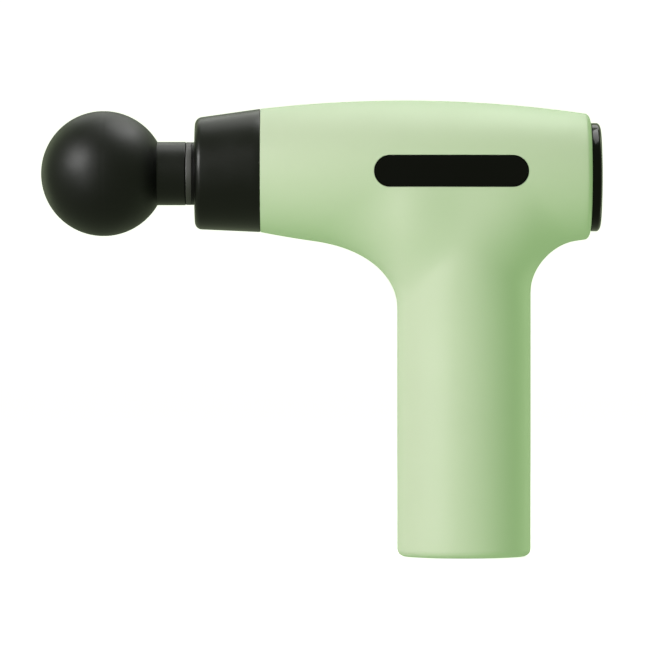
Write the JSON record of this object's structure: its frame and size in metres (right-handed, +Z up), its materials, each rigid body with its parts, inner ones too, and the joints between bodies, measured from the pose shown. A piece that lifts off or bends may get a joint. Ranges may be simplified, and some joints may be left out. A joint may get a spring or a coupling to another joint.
{
  "type": "massage gun",
  "caption": "T-shaped handheld percussion massager with a green body, black nose and removable ball head, and a moving sleeve driven by a crank and yoke.",
  "frame": {"origin": "centre of the handle's flat foot, on the surface it stands on", "axes": "+Z up along the handle, -X towards the massage head, +Y towards the right half shell"},
  "size_m": [0.2018, 0.055, 0.164],
  "materials": {
    "shell_green": "fine satin moulded plastic",
    "soft_black": "matte soft-touch black",
    "gloss_black": "glossy black",
    "dark_rubber": "matte black rubber",
    "ball_foam": "smooth closed-cell foam, matte black",
    "stem_plastic": "satin black plastic",
    "bright_steel": "machined steel",
    "can_steel": "plated steel",
    "magnet_grey": "dark coated magnet steel",
    "sleeve_aluminium": "turned aluminium",
    "black_anodised": "aluminium, anodised black",
    "frame_plastic": "glass-filled grey plastic",
    "bush_plastic": "natural acetal",
    "winding_copper": "enamelled copper",
    "cell_wrap": "blue cell wrap",
    "board_green": "solder-masked board",
    "chip_black": "moulded component black",
    "red_lead": "red wire cover",
    "black_lead": "black wire cover"
  },
  "bodies": {
    "housing": {"left_shell": "shell_green", "right_shell": "shell_green", "nose_cone": "soft_black", "nose_seal": "dark_rubber", "rear_cap": "soft_black", "display_lens": "gloss_black", "left_inlay": "gloss_black", "right_inlay": "gloss_black", "base_cover": "soft_black", "charge_port": "bright_steel", "port_board": "board_green", "drive_frame": "frame_plastic", "front_bush": "bush_plastic", "rear_bush": "bush_plastic", "frame_dampers": "dark_rubber", "motor_damper": "dark_rubber", "motor_can": "can_steel", "motor_end_cap": "sleeve_aluminium", "motor_stator": "can_steel", "motor_windings": "winding_copper", "motor_bearings": "bright_steel", "motor_screws": "bright_steel", "battery_cells": "cell_wrap", "cell_holders": "bush_plastic", "cell_links": "bright_steel", "main_board": "board_green", "board_parts": "chip_black", "display_board": "board_green", "button_switch": "chip_black", "display_ribbon": "winding_copper", "motor_leads": "red_lead", "battery_leads": "black_lead", "shell_screws": "bright_steel"},
    "button": {"power_button": "soft_black"},
    "crank": {"crank_disc": "bright_steel", "crank_pin": "bright_steel", "roller_clip": "bright_steel", "motor_shaft": "bright_steel", "motor_rotor": "magnet_grey"},
    "roller": {"crank_roller": "bright_steel"},
    "piston": {"piston_sleeve": "black_anodised", "socket_ring": "bright_steel", "yoke": "sleeve_aluminium", "yoke_pin": "bright_steel"},
    "head": {"ball": "ball_foam", "head_stem": "stem_plastic", "stem_ribs": "dark_rubber"}
  },
  "joints": [
    {"name": "crank_turn", "type": "hinge", "parent": "housing", "child": "crank", "pos_m": [0, 0, 0.128], "axis": [0, 0, 1], "range_deg": [-60, 60]},
    {"name": "piston_slide", "type": "slide", "parent": "housing", "child": "piston", "axis": [1, 0, 0], "range_m": [-0.005, 0.005]},
    {"name": "roller_spin", "type": "hinge", "parent": "crank", "child": "roller", "pos_m": [0, -0.0055, 0.1377], "axis": [0, 0, 1], "continuous": true},
    {"name": "head_pull", "type": "slide", "parent": "piston", "child": "head", "axis": [-1, 0, 0], "range_m": [0, 0.02]},
    {"name": "button_press", "type": "slide", "parent": "housing", "child": "button", "axis": [-1, 0, 0], "range_m": [0, 0.0005], "stiffness_N_per_m": 1500, "springref_m": -0.0005}
  ],
  "couplings": [
    {"joint": "piston_slide", "follows": "crank_turn", "m_per_rad": 0.004774}
  ]
}
